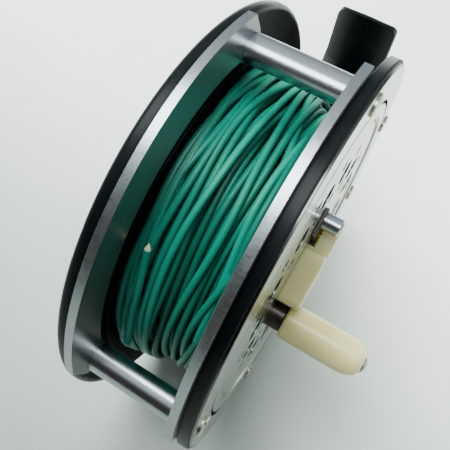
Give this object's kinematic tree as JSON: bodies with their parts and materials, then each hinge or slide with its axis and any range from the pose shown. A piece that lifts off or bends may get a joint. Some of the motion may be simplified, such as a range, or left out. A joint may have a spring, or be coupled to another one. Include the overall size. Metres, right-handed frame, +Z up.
{
  "type": "fly fishing reel",
  "caption": "Raised-pillar fly fishing reel with a perforated spool face, a short barrel handle, a curved reel foot and a spool wound with fly line.",
  "frame": {"origin": "centre of the flush spindle disc on the outer face of the back plate, on the spindle axis", "axes": "+X from the spindle towards the reel foot, -Y along the spindle towards the handle side, +Z up and parallel to the reel foot's length"},
  "size_m": [0.0946, 0.045, 0.0822],
  "materials": {
    "black_enamel": "satin gloss black",
    "satin_aluminium": "satin, fine cross grain on the edges",
    "polished_nickel": "polished",
    "polished_steel": "polished turned",
    "dark_steel": "blackened",
    "brass": "machined",
    "ivory_plastic": "moulded, slightly translucent",
    "brown_ferrule": "dark brown bronzed",
    "green_line": "glossy coated line",
    "backing_cord": "braided",
    "spring_steel": "drawn"
  },
  "bodies": {
    "frame": {"back_plate": "black_enamel", "rear_crescent": "satin_aluminium", "front_crescent": "satin_aluminium", "front_ring": "black_enamel", "trim_ring": "polished_nickel", "raised_pillars": "polished_steel", "frame_pillars": "polished_steel", "front_pillar_screws": "polished_nickel", "rear_pillar_screws": "polished_nickel", "spindle": "polished_steel", "spindle_screws": "polished_nickel", "thrust_washer": "brass", "pawl_posts": "polished_steel", "click_spring": "spring_steel", "click_spring_screw": "polished_nickel", "foot_bridge": "black_enamel", "reel_foot": "black_enamel", "foot_screws": "dark_steel"},
    "pawl_right": {"click_pawl_right": "polished_steel"},
    "pawl_left": {"click_pawl_left": "polished_steel"},
    "spool": {"spool_arbor": "satin_aluminium", "spool_rear_flange": "black_enamel", "spool_face": "polished_nickel", "face_screws": "polished_nickel", "spool_bushes": "brass", "ratchet_gear": "polished_steel", "ratchet_rivets": "brass", "line_backing": "backing_cord", "fly_line": "green_line", "hub_cover": "ivory_plastic", "cover_screws": "polished_nickel", "latch_spring": "spring_steel", "handle_ferrule": "brown_ferrule", "handle_pin": "polished_steel", "handle_rivet": "polished_nickel"},
    "latch": {"latch_plate": "dark_steel", "latch_button": "polished_steel"},
    "handle": {"handle_knob": "ivory_plastic"}
  },
  "joints": [
    {"name": "spool_spin", "type": "hinge", "parent": "frame", "child": "spool", "pos_m": [0, 0, 0], "axis": [0, -1, 0], "continuous": true},
    {"name": "handle_spin", "type": "hinge", "parent": "spool", "child": "handle", "pos_m": [-0.01016, 0, -0.00559], "axis": [0, -1, 0], "continuous": true},
    {"name": "latch_slide", "type": "slide", "parent": "spool", "child": "latch", "axis": [0.8761, 0, 0.4821], "range_m": [0, 0.0023], "deforming": ["latch_spring"]},
    {"name": "pawl_right_swing", "type": "hinge", "parent": "frame", "child": "pawl_right", "pos_m": [0.00575, 0, 0.00996], "axis": [0, -1, 0], "range_deg": [-12, 12]},
    {"name": "pawl_left_swing", "type": "hinge", "parent": "frame", "child": "pawl_left", "pos_m": [-0.00575, 0, 0.00996], "axis": [0, -1, 0], "range_deg": [-12, 12]}
  ]
}
